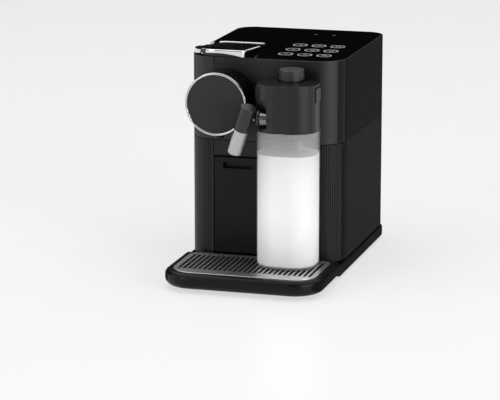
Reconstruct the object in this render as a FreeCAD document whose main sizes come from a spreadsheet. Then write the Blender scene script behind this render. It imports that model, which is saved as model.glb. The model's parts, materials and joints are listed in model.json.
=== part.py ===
import FreeCAD, Part
import math
import os
import re
import Sketcher
from FreeCAD import Vector

# A pod coffee machine with a clip-on milk jug, in millimetres.
# X runs to the right, Y to the back and Z up; the origin lies on the table under the middle.

SIZES = {
    # Overall box
    "machine_width": 203, "machine_depth": 367, "machine_height": 285,
    # Base and feet
    "foot_height": 3, "foot_radius": 10, "base_height": 15, "base_wall": 3, "base_corner": 26,
    "tongue_half": 70, "tongue_front": 22,
    # Drip tray and grid
    "tray_length": 117.5, "tray_gap": 0.5, "tray_lift": 1.5, "tray_rim_height": 24, "tray_corner": 38,
    "tray_rim": 9.5, "tray_roll": 6.5, "tray_tuck": 9, "tray_floor": 2,
    "grid_thick": 1.4, "grid_border": 8, "grid_corner": 28,
    "slot_width": 3.6, "slot_pitch": 6.4, "slot_count": 27,
    # Body shell
    "body_inset": 2, "front_setback": 118.5, "rear_inset": 3, "front_corner": 36, "rear_corner": 24,
    "seam_height": 170, "shell_wall": 2.8, "shadow_gap": 2, "fit_gap": 0.3,
    "skin_thick": 2, "skin_gap": 0.2, "rib_pitch": 3, "rib_width": 1.5, "rib_depth": 0.6,
    # Capsule bin and water tank bays
    "bin_left": 64, "bin_right": 2, "bin_depth": 112, "bin_top": 150, "bin_wall": 2.2, "frame_wall": 2.5,
    "tank_half": 75, "tank_bay_depth": 66, "tank_wall": 2.2, "tank_top": 163, "valve_height": 32,
    # Top panel and lever
    "lever_rise": 10, "panel_thick": 5, "panel_inset": 1.8, "panel_fit": 0.15,
    "recess_drop": 9, "recess_depth": 1,
    "lever_left": 92.5, "lever_right": 22, "lever_overhang": 4, "lever_length": 115, "lever_sink": 6.4,
    "lever_gap": 0.8, "lever_rear_gap": 2.6, "lever_step": 0.2, "lever_clear": 0.4, "lever_roof": 4.2,
    "horn_left": 97, "horn_length": 45, "arch_rise": 5.2,
    "inlay_left": 2.5, "inlay_right": 3, "inlay_front": 7, "inlay_rear": 5, "inlay_depth": 1.2,
    "pivot_back": 8, "pivot_drop": 7, "shaft_radius": 2.5, "barrel_radius": 5, "ear_radius": 4.6,
    "ear_thick": 3.5,
    "deck_drop": 15.5, "deck_thick": 3, "running_gap": 0.06,
    # Brew unit
    "drum_x": -49, "drum_z": 223, "drum_radius": 39, "drum_wall": 2.5, "drum_length": 39,
    "face_ring_width": 2.4, "face_thick": 4, "brew_drop": 10, "head_radius": 19, "head_length": 24,
    "head_back": 59, "carriage_length": 29, "lever_angle": 80, "carriage_travel": 28,
    "crank_drop": 30, "crank_lead": 12, "cam_radius": 39, "pin_radius": 2, "pin_play": 0.5,
    "nozzle_reach": 27, "nozzle_radius": 6,
    # Milk jug, lid, knob and spout
    "jug_left": 4.2, "jug_width": 76, "jug_depth": 67, "jug_corner": 29, "jug_wall": 2.2,
    "jug_top": 195.4, "gasket_thick": 0.9, "lid_top": 254.2, "lid_wall": 2.6, "skirt_depth": 9,
    "dock_x": 39, "dock_z": 224, "dock_reach": 12, "dock_radius": 4,
    "knob_x": 42, "knob_back": 19, "knob_radius": 15.6, "knob_height": 15, "knob_stem": 4, "knob_gap": 2.6,
    "swivel_inset": 10, "swivel_z": 211.4, "socket_x": 22.6, "journal_radius": 5,
    "ring_radius": 9, "ring_length": 9.2,
    "scoop_low": 11.4, "scoop_high": 18.2, "scoop_depth": 24, "scoop_wall": 2,
    "spout_top": 10.2, "spout_radius": 9.5, "spout_end": 8.8, "spout_bore": 4.5, "spout_lean": 19.4,
    "spout_swing": 11, "spout_x": -5.2, "spout_lead": 4, "spout_rise": 16, "spout_drop": 16,
    "tip_length": 33.5,
    "link_radius": 4.4, "link_seat": 4.9,
    "button_back": 24, "button_length": 22, "button_low": 231.6, "button_high": 250.2, "button_slit": 1.1,
}

# Positions that several pieces share, written from the sizes above
SHARED = {
    "half_width": "machine_width / 2",
    "front_y": "-machine_depth / 2",
    "rear_y": "machine_depth / 2",
    "base_floor": "foot_height + base_wall",
    "base_top": "foot_height + base_height",
    "base_front": "front_y + tray_length + tray_gap",
    "tray_back": "front_y + tray_length",
    "tray_bottom": "foot_height + tray_lift",
    "tray_inside": "base_floor + fit_gap + tray_floor",
    "grid_top": "tray_rim_height + 0.4",
    "body_half": "half_width - body_inset",
    "body_front": "front_y + front_setback",
    "body_rear": "rear_y - rear_inset",
    "frame_inset": "skin_thick + skin_gap",
    "panel_top": "machine_height - lever_rise",
    "panel_low": "panel_top - panel_thick",
    "bin_low": "tray_rim_height + 1",
    "bin_rear": "body_front + bin_depth",
    "tank_front": "body_rear - tank_bay_depth",
    "tank_low": "base_top + fit_gap",
    "lever_low": "panel_top - lever_sink",
    "lever_front": "body_front - lever_overhang",
    "lever_rear": "body_front + lever_length",
    "lever_run": "lever_length + lever_overhang",
    "lever_slope": "(lever_rise - lever_step) / lever_run",
    "horn_rear": "body_front + horn_length",
    "pivot_y": "lever_rear - pivot_back",
    "pivot_z": "panel_top - pivot_drop",
    "deck_top": "panel_top - deck_drop",
    "head_front": "body_front + head_back",
    "brew_z": "drum_z - brew_drop",
    "nozzle_y": "body_front - nozzle_reach",
    "pin_y": "pivot_y + crank_lead",
    "pin_z": "pivot_z - crank_drop",
    "jug_right": "jug_left + jug_width",
    "jug_back": "body_front - 1",
    "jug_front": "jug_back - jug_depth",
    "jug_low": "grid_top + fit_gap",
    "lid_low": "jug_top + gasket_thick",
    "skirt_low": "jug_top - skirt_depth",
    "skirt_inset": "jug_wall + 0.4",
    "knob_y": "jug_back - knob_back",
    "swivel_y": "jug_front + swivel_inset",
    "spout_y": "swivel_y - spout_lead",
    "scoop_back": "jug_front + scoop_depth",
    "button_rear": "jug_back - button_back",
    "button_front": "button_rear - button_length",
    "plate_gap": "head_radius + 6.5",
}

doc = FreeCAD.newDocument("pod_coffee_machine")
sheet = doc.addObject("Spreadsheet::Sheet", "Sizes")
for row, (alias, number) in enumerate(SIZES.items(), 1):
    sheet.set(f"A{row}", alias.replace("_", " "))
    sheet.set(f"B{row}", str(number))
    sheet.setAlias(f"B{row}", alias)
doc.recompute()


def bound(text):
    """An expression in the sheet's own terms, with the shared positions written out."""
    def swap(match):
        word = match.group(0)
        if word in SHARED:
            return "(" + bound(SHARED[word]) + ")"
        return "Sizes." + word if word in SIZES else word
    return re.sub(r"[a-z_]+", swap, text)


def size(text):
    """The present value of an expression."""
    return float(sheet.evalExpression(bound(text)))


def less(text):
    """The same expression with its sign turned."""
    return "0" if text == "0" else f"-({text})"


class Drawing:
    """A sketch whose points and radii are all held by named sizes."""

    def __init__(self, sketch):
        self.sketch = sketch

    def rule(self, *parts):
        return self.sketch.addConstraint(Sketcher.Constraint(*parts))

    def measure(self, kind, *parts):
        text = parts[-1]
        index = self.rule(kind, *parts[:-1], size(text))
        self.sketch.setExpression(f"Constraints[{index}]", bound(text))

    def hold(self, shape, point, x, y):
        for kind, axis, text in (("DistanceX", -2, x), ("DistanceY", -1, y)):
            if text == "0":
                self.rule("PointOnObject", shape, point, axis)
            else:
                self.measure(kind, -1, 1, shape, point, text)

    def polygon(self, points):
        corners = [Vector(size(x), size(y), 0) for x, y in points]
        ends = corners[1:] + corners[:1]
        lines = [self.sketch.addGeometry(Part.LineSegment(a, b), False) for a, b in zip(corners, ends)]
        for index, line in enumerate(lines):
            self.rule("Coincident", lines[index - 1], 2, line, 1)
            self.hold(line, 1, *points[index])
        return self

    def rectangle(self, left, right, low, high):
        return self.polygon([(left, low), (right, low), (right, high), (left, high)])

    def circle(self, x, y, radius):
        ring = Part.Circle(Vector(size(x), size(y), 0), Vector(0, 0, 1), size(radius))
        shape = self.sketch.addGeometry(ring, False)
        self.hold(shape, 3, x, y)
        self.measure("Radius", shape, radius)
        return self

    def outline(self, left, right, low, high, radii):
        """A rectangle with round corners; radii run from low left, anticlockwise."""
        radii = [radii] * 4 if isinstance(radii, str) else radii
        x, y = (size(left), size(right)), (size(low), size(high))
        corners = ((0, 0), (1, 0), (1, 1), (0, 1))
        arcs = []
        for turn, ((i, j), text) in enumerate(zip(corners, radii)):
            reach = size(text)
            middle = Vector(x[i] + reach * (1 - 2 * i), y[j] + reach * (1 - 2 * j), 0)
            start = math.pi + turn * math.pi / 2
            arc = Part.ArcOfCircle(Part.Circle(middle, Vector(0, 0, 1), reach), start, start + math.pi / 2)
            arcs.append(self.sketch.addGeometry(arc, False))
        points = [self.sketch.getPoint(arc, end) for arc in arcs for end in (1, 2)]
        for index, text in enumerate(radii):
            after = (index + 1) % 4
            side = Part.LineSegment(points[2 * index + 1], points[2 * after])
            line = self.sketch.addGeometry(side, False)
            self.rule("Tangent", arcs[index], 2, line, 1)
            self.rule("Tangent", line, 2, arcs[after], 1)
            self.rule("Horizontal" if index % 2 == 0 else "Vertical", line)
            self.measure("Radius", arcs[index], text)
            kind = "DistanceY" if index % 2 == 0 else "DistanceX"
            self.measure(kind, -1, 1, line, 1, (low, right, high, left)[index])
        return self


class Piece:
    """One physical piece, built feature by feature in a body of its own."""

    def __init__(self, label):
        self.label = label
        self.body = doc.addObject("PartDesign::Body", label)
        self.body.Label = label

    def drawing(self, plane, at, x="0", y="0"):
        sketch = self.body.newObject("Sketcher::SketchObject", self.label + "_sketch")
        origin = [part for part in self.body.Origin.OriginFeatures if part.Role == plane + "_Plane"]
        sketch.AttachmentSupport = [(origin[0], "")]
        sketch.MapMode = "FlatFace"
        for axis, text in (("x", x), ("y", y), ("z", less(at) if plane == "XZ" else at)):
            if text != "0":
                sketch.setExpression("AttachmentOffset.Base." + axis, bound(text))
        return Drawing(sketch)

    def feature(self, kind, drawing):
        made = self.body.newObject("PartDesign::" + kind, self.label + "_" + kind.lower())
        made.Profile = drawing.sketch
        drawing.sketch.Visibility = False
        return made

    def add(self, plane, low, high, draw):
        """Material between two levels of one axis."""
        drawing = self.drawing(plane, low)
        draw(drawing)
        pad = self.feature("Pad", drawing)
        pad.Reversed = plane == "XZ"
        pad.setExpression("Length", bound(f"({high}) - ({low})"))
        doc.recompute()
        return self

    def cut(self, plane, low, high, draw, x="0", y="0"):
        """A pocket between two levels of one axis, which has to take material away."""
        before = self.body.Shape.Volume
        drawing = self.drawing(plane, low, x, y)
        draw(drawing)
        pocket = self.feature("Pocket", drawing)
        pocket.Reversed = plane != "XZ"
        pocket.setExpression("Length", bound(f"({high}) - ({low})"))
        doc.recompute()
        if self.body.Shape.Volume > before - 0.01:
            raise ValueError(self.label + " lost nothing to a pocket")
        self.last = (pocket, drawing.sketch)
        return self

    def turn(self, points):
        """A profile of radius and height, turned about the body's own Z axis."""
        drawing = self.drawing("XZ", "0").polygon(points)
        turned = self.feature("Revolution", drawing)
        turned.ReferenceAxis = (drawing.sketch, ["V_Axis"])
        turned.Angle = 360
        doc.recompute()
        return self

    def row(self, axis, pitch, count, back=False):
        """Repeats the last pocket in a straight row along a sketch axis."""
        pocket, sketch = self.last
        pattern = self.body.newObject("PartDesign::LinearPattern", self.label + "_row")
        pattern.Originals = [pocket]
        pattern.Direction = (sketch, [axis])
        pattern.Reversed = back
        pattern.setExpression("Length", bound(f"({pitch}) * (({count}) - 1)"))
        pattern.setExpression("Occurrences", bound(count))
        self.body.Tip = pattern
        doc.recompute()
        return self

    def fan(self, angle, count, back=False):
        """Repeats the last pocket round the origin of its own sketch."""
        pocket, sketch = self.last
        pattern = self.body.newObject("PartDesign::PolarPattern", self.label + "_fan")
        pattern.Originals = [pocket]
        pattern.Axis = (sketch, ["N_Axis"])
        pattern.Reversed = back
        pattern.setExpression("Angle", bound(angle))
        pattern.setExpression("Occurrences", bound(count))
        self.body.Tip = pattern
        doc.recompute()
        return self

    def soften(self, radius, wanted, kind="Fillet"):
        """Rounds or chamfers the edges of the present shape that a test picks out."""
        tip = self.body.Tip
        edges = [f"Edge{n}" for n, edge in enumerate(tip.Shape.Edges, 1) if wanted(edge)]
        made = self.body.newObject("PartDesign::" + kind, self.label + "_" + kind.lower())
        made.Base = (tip, edges)
        made.setExpression("Radius" if kind == "Fillet" else "Size", bound(radius))
        doc.recompute()
        return self

    def place(self, x, y, z, axis=None, angle=0):
        """Moves the body, bound to the sizes, after an optional turn about one axis."""
        if axis:
            self.body.Placement = FreeCAD.Placement(Vector(), FreeCAD.Rotation(axis, angle))
        for name, text in (("x", x), ("y", y), ("z", z)):
            if text != "0":
                self.body.setExpression("Placement.Base." + name, bound(text))
        doc.recompute()
        return self


def spots(edge):
    """Start, middle and end of an edge."""
    first, last = edge.ParameterRange
    return [edge.valueAt(first), edge.valueAt((first + last) / 2), edge.valueAt(last)]


def level(text, axis="z"):
    """A test for edges that lie wholly at one level of an axis."""
    at = size(text)
    return lambda edge: all(abs(getattr(spot, axis) - at) < 0.01 for spot in spots(edge))


def both(*tests):
    return lambda edge: all(test(edge) for test in tests)


def body_outline(drawing, inset="0"):
    """The plan of the body: large front corners and smaller rear ones."""
    front, rear = f"front_corner - ({inset})", f"rear_corner - ({inset})"
    half = f"body_half - ({inset})"
    return drawing.outline(less(half), half, f"body_front + ({inset})", f"body_rear - ({inset})",
                           [front, front, rear, rear])


def jug_outline(drawing, inset="0"):
    """The plan of jug and lid."""
    return drawing.outline(f"jug_left + ({inset})", f"jug_right - ({inset})", f"jug_front + ({inset})",
                           f"jug_back - ({inset})", f"jug_corner - ({inset})")


def studs(label, axis, radius, length, places):
    """A set of equal round pieces that share one node."""
    made = []
    for x, y, z in places:
        stud = doc.addObject("Part::Cylinder", label + "_one")
        stud.Placement = FreeCAD.Placement(Vector(), FreeCAD.Rotation(Vector(0, 0, 1), axis))
        stud.setExpression("Radius", bound(radius))
        stud.setExpression("Height", bound(length))
        for name, text in (("x", x), ("y", y), ("z", z)):
            if text != "0":
                stud.setExpression("Placement.Base." + name, bound(text))
        made.append(stud)
    group = doc.addObject("Part::Compound", label)
    group.Links = made
    group.Label = label
    doc.recompute()
    return group


RIGHT, BACK, UP = Vector(1, 0, 0), Vector(0, 1, 0), Vector(0, 0, 1)
DONE = []


def keep(made):
    """Notes one finished piece for the export."""
    DONE.append(made.body if isinstance(made, Piece) else made)


# Base with its floor, the tongue under the tray, rails for bin and tank
SCREW_SPOTS = [(side, y) for side in ("half_width - 11.5", "-half_width + 11.5")
               for y in ("body_front + 53", "body_front + 137")]
base = Piece("base_plate")
base.add("XY", "foot_height", "base_top", lambda d: d.outline(
    "-half_width", "half_width", "base_front", "rear_y", ["2", "2", "base_corner", "base_corner"]))
base.soften("base_wall - 0.5", level("base_top")).soften("base_wall + 1", level("foot_height"))
base.cut("XY", "base_floor", "base_top + 1", lambda d: d.outline(
    "-half_width + base_wall", "half_width - base_wall", "base_front + base_wall", "rear_y - base_wall",
    ["2", "2", "base_corner - base_wall", "base_corner - base_wall"]))
base.add("XY", "foot_height", "base_floor", lambda d: d.outline(
    "-tongue_half", "tongue_half", "front_y + tongue_front", "base_front + 8", ["14", "14", "1", "1"]))
for left in ("-bin_left + 4", "-bin_right - 12"):
    base.add("XY", "base_floor - 1", "bin_low - fit_gap", lambda d: d.rectangle(
        left, f"{left} + 8", "base_front + base_wall + 1", "bin_rear - 10"))
base.add("XY", "base_floor - 1", "tank_low - fit_gap", lambda d: d.rectangle(
    "-tank_half + 15", "tank_half - 15", "tank_front + 8", "tank_front + 14"))
base.cut("XZ", "rear_y - base_wall - 1", "rear_y + 1", lambda d: d.circle("62", "foot_height + 8.5", "4.2"))
for x, y in SCREW_SPOTS:
    base.cut("XY", "foot_height - 1", "foot_height + 1.6", lambda d: d.circle(x, y, "3.8"))
    base.cut("XY", "foot_height", "base_floor + 1", lambda d: d.circle(x, y, "2.1"))
keep(base)

keep(studs("rubber_feet", UP, "foot_radius", "foot_height", [
    (x, y, "0") for x, y in (("-tongue_half + 16", "front_y + 42"), ("tongue_half - 16", "front_y + 42"),
                             ("-half_width + 26", "rear_y - 34"), ("half_width - 26", "rear_y - 34"))]))

gland = Piece("cord_gland")
gland.turn([("2.8", "0.2"), ("4.1", "0.2"), ("4.1", "base_wall + 0.2"), ("5.2", "base_wall + 0.2"),
            ("5.2", "base_wall + 4"), ("2.8", "base_wall + 4")])
gland.place("62", "rear_y", "foot_height + 8.5", RIGHT, 90)
keep(gland)

# Drip tray with its recess over the tongue, and the slotted grid


def tray_front(height):
    """A test for the tray's outer edges at one height, all but the straight rear ones."""
    return both(level(height), lambda edge: spots(edge)[1].y < size("tray_back - 1"))


tray = Piece("drip_tray")
tray.add("XY", "tray_bottom", "tray_rim_height", lambda d: d.outline(
    "-half_width", "half_width", "front_y", "tray_back", ["tray_corner", "tray_corner", "2", "2"]))
tray.soften("tray_tuck", tray_front("tray_bottom")).soften("tray_roll", tray_front("tray_rim_height"))
tray.cut("XY", "tray_inside", "tray_rim_height + 1", lambda d: d.outline(
    "-half_width + tray_rim + 3", "half_width - tray_rim - 3", "front_y + tray_rim + 5",
    "tray_back - 8", ["grid_corner - 3", "grid_corner - 3", "9", "9"]))
tray.cut("XY", "grid_top - grid_thick - fit_gap", "tray_rim_height + 1", lambda d: d.outline(
    "-half_width + tray_rim", "half_width - tray_rim", "front_y + tray_rim + 2", "tray_back - 5",
    ["grid_corner", "grid_corner", "12", "12"]))
tray.cut("XY", "tray_bottom - 1", "base_floor + fit_gap", lambda d: d.outline(
    "-tongue_half - 0.5", "tongue_half + 0.5", "front_y + tongue_front - 0.5", "tray_back + 1",
    ["14.5", "14.5", "0.6", "0.6"]))
keep(tray)

grid = Piece("drip_grid")
grid.add("XY", "grid_top - grid_thick", "grid_top", lambda d: d.outline(
    "-half_width + tray_rim + fit_gap", "half_width - tray_rim - fit_gap",
    "front_y + tray_rim + 2 + fit_gap", "tray_back - 5 - fit_gap",
    ["grid_corner - fit_gap", "grid_corner - fit_gap", "12 - fit_gap", "12 - fit_gap"]))
grid.soften("0.5", level("grid_top"))
slot_first = "slot_pitch * (slot_count - 1) / 2"
grid.cut("XY", "grid_top - grid_thick - 1", "grid_top + 1", lambda d: d.outline(
    f"-({slot_first}) - slot_width / 2", f"-({slot_first}) + slot_width / 2",
    "front_y + tray_rim + grid_border + 13", "tray_back - 5 - grid_border", "slot_width / 2 - 0.05"))
grid.row("H_Axis", "slot_pitch", "slot_count")
keep(grid)

# Lower frame: outer wall, front fascia opening for the bin, tank bay at the back
lower = Piece("lower_housing")
lower.add("XY", "base_top + fit_gap", "seam_height", lambda d: body_outline(d, "frame_inset"))
inner = "frame_inset + frame_wall"
inner_corner = f"front_corner - ({inner})"
lower.cut("XY", "base_top", "seam_height + 1", lambda d: d.outline(
    "-bin_right + frame_wall", f"body_half - ({inner})", f"body_front + {inner}",
    "tank_front - 3", ["2", inner_corner, "2", "2"]))
lower.cut("XY", "base_top", "seam_height + 1", lambda d: d.outline(
    f"-body_half + ({inner})", "-bin_left - frame_wall", f"body_front + {inner}", "tank_front - 3",
    ["26", "2", "2", "2"]))
lower.cut("XY", "base_top", "seam_height + 1", lambda d: d.rectangle(
    "-bin_left - frame_wall - 5", "-bin_right + frame_wall + 5",
    "bin_rear + 2 + frame_wall", "tank_front - 3"))
lower.cut("XY", "base_top", "seam_height + 1", lambda d: d.rectangle(
    "-bin_left", "-bin_right", f"body_front + {inner}", "bin_rear + 2"))
lower.cut("XY", "base_top", "bin_top", lambda d: d.rectangle(
    "-bin_left", "-bin_right", "body_front - 1", f"body_front + {inner} + 1"))
lower.cut("XY", "base_top", "tank_top + 4", lambda d: d.rectangle(
    "-tank_half", "tank_half", "tank_front", "body_rear + 1"))
lower.cut("XZ", "tank_front - 4", "tank_front + 1", lambda d: d.circle("0", "valve_height", "7"))
for x, y in SCREW_SPOTS:
    lower.add("XY", "base_floor + fit_gap", "base_top + 30", lambda d: d.circle(x, y, "5"))
    lower.cut("XY", "base_floor", "base_floor + 10", lambda d: d.circle(x, y, "1.9"))
keep(lower)

keep(studs("base_screws", UP, "1.8", "10", [(x, y, "foot_height + 1.7") for x, y in SCREW_SPOTS]))

fascia = Piece("front_fascia")
fascia.add("XZ", "body_front", "body_front + skin_thick", lambda d: d.rectangle(
    "-bin_left", "-bin_right", "bin_top + 0.4", "seam_height - fit_gap"))
keep(fascia)


def ribbed_panel(label, side, front_edge):
    """One half of the ribbed skin: front part, front corner, side and rear corner."""
    panel = Piece(label)
    low, high = "base_top + shadow_gap", "seam_height - fit_gap"
    under, over = f"{low} - 1", f"{high} + 1"
    panel.add("XY", low, high, lambda d: body_outline(body_outline(d), "skin_thick"))
    panel.cut("XY", under, over, lambda d: d.rectangle(
        f"{-side} * (half_width + 5)", front_edge, "body_front - 5", "body_rear + 5"))
    panel.cut("XY", under, over, lambda d: d.rectangle(
        f"{front_edge} - {side} * 3", f"{side} * (tank_half + 0.8)", "body_rear - 40", "body_rear + 5"))

    def groove(along, out):
        """A shallow vee: the first number runs out of the face, the second along it."""
        lip = f"({out}) + 0.4"
        return [(lip, f"{along} - rib_width / 2"), (f"({out}) - rib_depth", along),
                (lip, f"{along} + rib_width / 2")]

    def outward(points):
        return [(f"{side} * ({x})", y) for x, y in points]

    span = "body_rear - rear_corner - body_front - front_corner"
    first = "body_front + front_corner + rib_pitch"
    panel.cut("XY", under, over, lambda d: d.polygon(outward(groove(first, "body_half"))))
    panel.row("V_Axis", "rib_pitch", f"floor(({span}) / rib_pitch) - 1")
    for radius, y, back in (("front_corner", "body_front + front_corner", side > 0),
                            ("rear_corner", "body_rear - rear_corner", side < 0)):
        panel.cut("XY", under, over, lambda d: d.polygon(outward(groove("0", radius))),
                  f"{side} * (body_half - {radius})", y)
        count = f"floor({radius} * 1.5 / rib_pitch)"
        panel.fan(f"rib_pitch / {radius} * 180 / pi * ({count} - 1)", count, back)
    if side > 0:
        flat = f"body_half - front_corner - ({front_edge})"
        panel.cut("XY", under, over, lambda d: d.polygon(
            [(y, less(x)) for x, y in groove("body_half - front_corner - rib_pitch", less("body_front"))]))
        panel.row("H_Axis", "rib_pitch", f"floor(({flat} - 2) / rib_pitch)", True)
    keep(panel)


ribbed_panel("ribbed_panel_right", 1, "-bin_right + 0.8")
ribbed_panel("ribbed_panel_left", -1, "-bin_left - 0.8")

# Upper housing with its inner flange, drum hole, steam port, seat for the panel, finger recess and rear vents
upper = Piece("upper_housing")
upper.add("XY", "seam_height + fit_gap", "panel_top", body_outline)
upper.soften("1", level("seam_height + fit_gap")).soften("0.6", level("panel_top"))
upper.cut("XY", "seam_height", "panel_top + 1", lambda d: body_outline(d, "8"))
upper.cut("XY", "seam_height + 3", "panel_top + 1", lambda d: body_outline(d, "shell_wall"))
upper.cut("XY", "panel_low", "panel_top + 1", lambda d: body_outline(d, "panel_inset"))
upper.cut("XZ", "body_front - 1", "body_front + 6", lambda d: d.circle("drum_x", "drum_z", "drum_radius - 6"))
upper.cut("XZ", "body_front - 1", "body_front + 6", lambda d: d.circle(
    "dock_x", "dock_z", "dock_radius + 2.3"))
upper.cut("XZ", "body_front - 1", "body_front + recess_depth", lambda d: d.outline(
    "-lever_left + 28", "-lever_right + 13", "panel_top - recess_drop", "panel_top + 6", "3"))
upper.cut("XZ", "body_rear - 10", "body_rear + 1", lambda d: d.outline(
    "-46", "-42", "seam_height + 30", "seam_height + 68", "1.9"))
upper.row("H_Axis", "8", "12")
keep(upper)

panel = Piece("top_panel")
panel.add("XY", "panel_low", "panel_top", lambda d: body_outline(d, "panel_inset + panel_fit"))
panel.soften("0.5", level("panel_top"))
panel.cut("XY", "panel_low - 1", "panel_top + 1", lambda d: d.rectangle(
    "-half_width", "-lever_right + lever_gap", "front_y", "horn_rear + lever_gap"))
panel.cut("XY", "panel_low - 1", "panel_top + 1", lambda d: d.outline(
    "-lever_left - lever_gap", "-lever_right + lever_gap", "horn_rear - 20", "lever_rear + lever_rear_gap",
    ["1", "1", "3", "3"]))
keep(panel)

touch = Piece("touch_board")
touch.add("XY", "panel_low - 5", "panel_low - 3.4", lambda d: d.rectangle(
    "-lever_right + 8", "body_half - 12", "body_front + 22", "body_rear - 22"))
for x in ("14.5", "39.5", "64.5"):
    for y in ("body_front + 47", "body_front + 82.5", "body_front + 118"):
        touch.add("XY", "panel_low - 4", "panel_low - 0.1", lambda d: d.circle(x, y, "7"))
keep(touch)

# Deck under the lever with the capsule chute and the two shaft ears
EARS = ("-lever_left + 11.5", "-lever_right - 10.5")
CAMS = ("drum_x - 15.5", "drum_x + 12.5")
deck = Piece("capsule_chute")
deck.add("XY", "deck_top - deck_thick", "deck_top", lambda d: d.outline(
    "-body_half + shell_wall + fit_gap", "-lever_right", "body_front + shell_wall + fit_gap",
    "lever_rear + 2", ["front_corner - shell_wall", "2", "2", "2"]))
deck.add("XY", "deck_top - 14", "deck_top - 1", lambda d: d.rectangle(
    "drum_x - 22", "drum_x + 22", "head_front - 33", "head_front + 1"))
deck.cut("XY", "deck_top - 15", "deck_top + 1", lambda d: d.rectangle(
    "drum_x - 20", "drum_x + 20", "head_front - 31", "head_front - 1"))
for left in EARS:
    deck.add("YZ", left, f"{left} + ear_thick", lambda d: d.polygon([
        ("pivot_y - 9", "deck_top - 1"), ("pivot_y - 0.2", "deck_top - 1"), ("pivot_y - 0.2", "pivot_z"),
        ("pivot_y - 4.2", "pivot_z"), ("pivot_y - 4.2", "pivot_z - 2")]))
    deck.add("YZ", left, f"{left} + ear_thick", lambda d: d.circle("pivot_y", "pivot_z", "ear_radius"))
    deck.cut("YZ", f"{left} - 1", f"{left} + 5", lambda d: d.circle(
        "pivot_y", "pivot_z", "shaft_radius + running_gap"))
for left in CAMS:
    deck.cut("XY", "deck_top - deck_thick - 1", "deck_top + 1", lambda d: d.rectangle(
        f"{left} - 0.8", f"{left} + 3.8", "head_front + 1.4", "lever_rear + 3"))
keep(deck)

# Lever: a wedge with an arched lip, black inlay in its sloping top, yoke with cam plates, shaft


def on_slope(edge):
    """A test for edges in the plane of the lever's top."""
    high, front, fall = size("machine_height"), size("lever_front"), size("lever_slope")
    return all(abs(spot.z - high + fall * (spot.y - front)) < 0.01 for spot in spots(edge))


frame = Piece("lever_frame_blank")
frame.add("XY", "panel_top + lever_clear", "machine_height", lambda d: d.outline(
    "-horn_left", "-lever_right", "lever_front", "horn_rear", ["front_corner", "7", "2", "6"]))
half_span = "(horn_left - lever_right) / 2"
arch = f"(({half_span}) * ({half_span}) + arch_rise * arch_rise) / (2 * arch_rise)"
frame.cut("XZ", "lever_front - 1", "horn_rear + 1", lambda d: d.circle(
    "-(horn_left + lever_right) / 2", f"panel_top + lever_clear + arch_rise - ({arch})", arch))
frame.add("XY", "lever_low", "machine_height", lambda d: d.outline(
    "-lever_left", "-lever_right", "body_front + shell_wall + 0.6", "lever_rear", ["30", "4", "14", "12"]))
frame.cut("YZ", "-horn_left - 1", "-lever_right + 1", lambda d: d.polygon([
    ("lever_front - 1", "machine_height + lever_slope"),
    ("lever_rear + 1", "panel_top + lever_step - lever_slope"),
    ("lever_rear + 1", "machine_height + 2"), ("lever_front - 1", "machine_height + 2")]))
frame.soften("1.6", on_slope)
frame.cut("YZ", "-lever_left + 6.5", "-lever_right - 4", lambda d: d.polygon([
    ("lever_front + 23", "lever_low - 1"), ("pivot_y - 8", "lever_low - 1"),
    ("pivot_y - 8", "panel_top + lever_step + lever_slope * (pivot_back + 8) - lever_roof"),
    ("lever_front + 23", "machine_height - lever_slope * 23 - lever_roof")]))
frame.cut("XY", "lever_low - 1", "pivot_z + barrel_radius + 0.1", lambda d: d.rectangle(
    "-lever_left + 11", "-lever_right - 6.5",
    "pivot_y - barrel_radius - 0.4", "pivot_y + barrel_radius + 0.4"))
for near, far in (("-lever_left + 6.8", "-lever_left + 11"), ("-lever_right - 6.5", "-lever_right - 4.4")):
    frame.add("YZ", near, far, lambda d: d.circle("pivot_y", "pivot_z", "barrel_radius"))
frame.cut("YZ", "-lever_left + 7.5", "-lever_right - 5.2", lambda d: d.circle(
    "pivot_y", "pivot_z", "shaft_radius + running_gap"))


def sloping_plate(label, slack, low, high):
    """A plate of the inlay's plan, drawn flat, for the plane of the lever's top."""
    plate = Piece(label)
    return plate.add("XY", low, high, lambda d: d.outline(
        f"-lever_left + inlay_left + {slack}", f"-lever_right - inlay_right - {slack}",
        f"inlay_front + {slack}", f"lever_run - inlay_rear - {slack}",
        [f"28 - {slack}", f"4 - {slack}", f"11 - {slack}", f"9 - {slack}"]))


def tilt(plate):
    """Lays such a plate into the lever's top."""
    angle = math.degrees(math.atan(size("lever_slope")))
    return plate.place("0", "lever_front", "machine_height", RIGHT, -angle)


def less_tool(label, base, tool):
    """One piece less the shape of another."""
    made = doc.addObject("Part::Cut", label)
    made.Base = base
    made.Tool = tool
    made.Label = label
    doc.recompute()
    return made


seat = tilt(sloping_plate("inlay_seat", "0", "-inlay_depth", "4"))
keep(less_tool("lever_frame", frame.body, seat.body))
inlay = sloping_plate("lever_inlay", "0.2", "-inlay_depth", "-0.2")
keep(tilt(inlay.soften("0.4", level("-0.2"))))

keep(studs("lever_shaft", RIGHT, "shaft_radius", "lever_left - lever_right - 13.5",
           [("-lever_left + 8", "pivot_y", "pivot_z")]))


def cam_path(share, offset):
    """The carriage pin in the lever's own frame, part of the way through the opening, shifted sideways."""
    swing = math.radians(size("lever_angle"))

    def spot(part):
        along = size("crank_lead") - part * size("carriage_travel")
        down = -size("crank_drop")
        turned = part * swing
        return (along * math.cos(turned) - down * math.sin(turned),
                along * math.sin(turned) + down * math.cos(turned))

    here, ahead, behind = spot(share), spot(share + 0.001), spot(share - 0.001)
    run, rise = ahead[0] - behind[0], ahead[1] - behind[1]
    length = math.hypot(run, rise)
    return Vector(0, here[0] - rise / length * offset, here[1] + run / length * offset)


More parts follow.
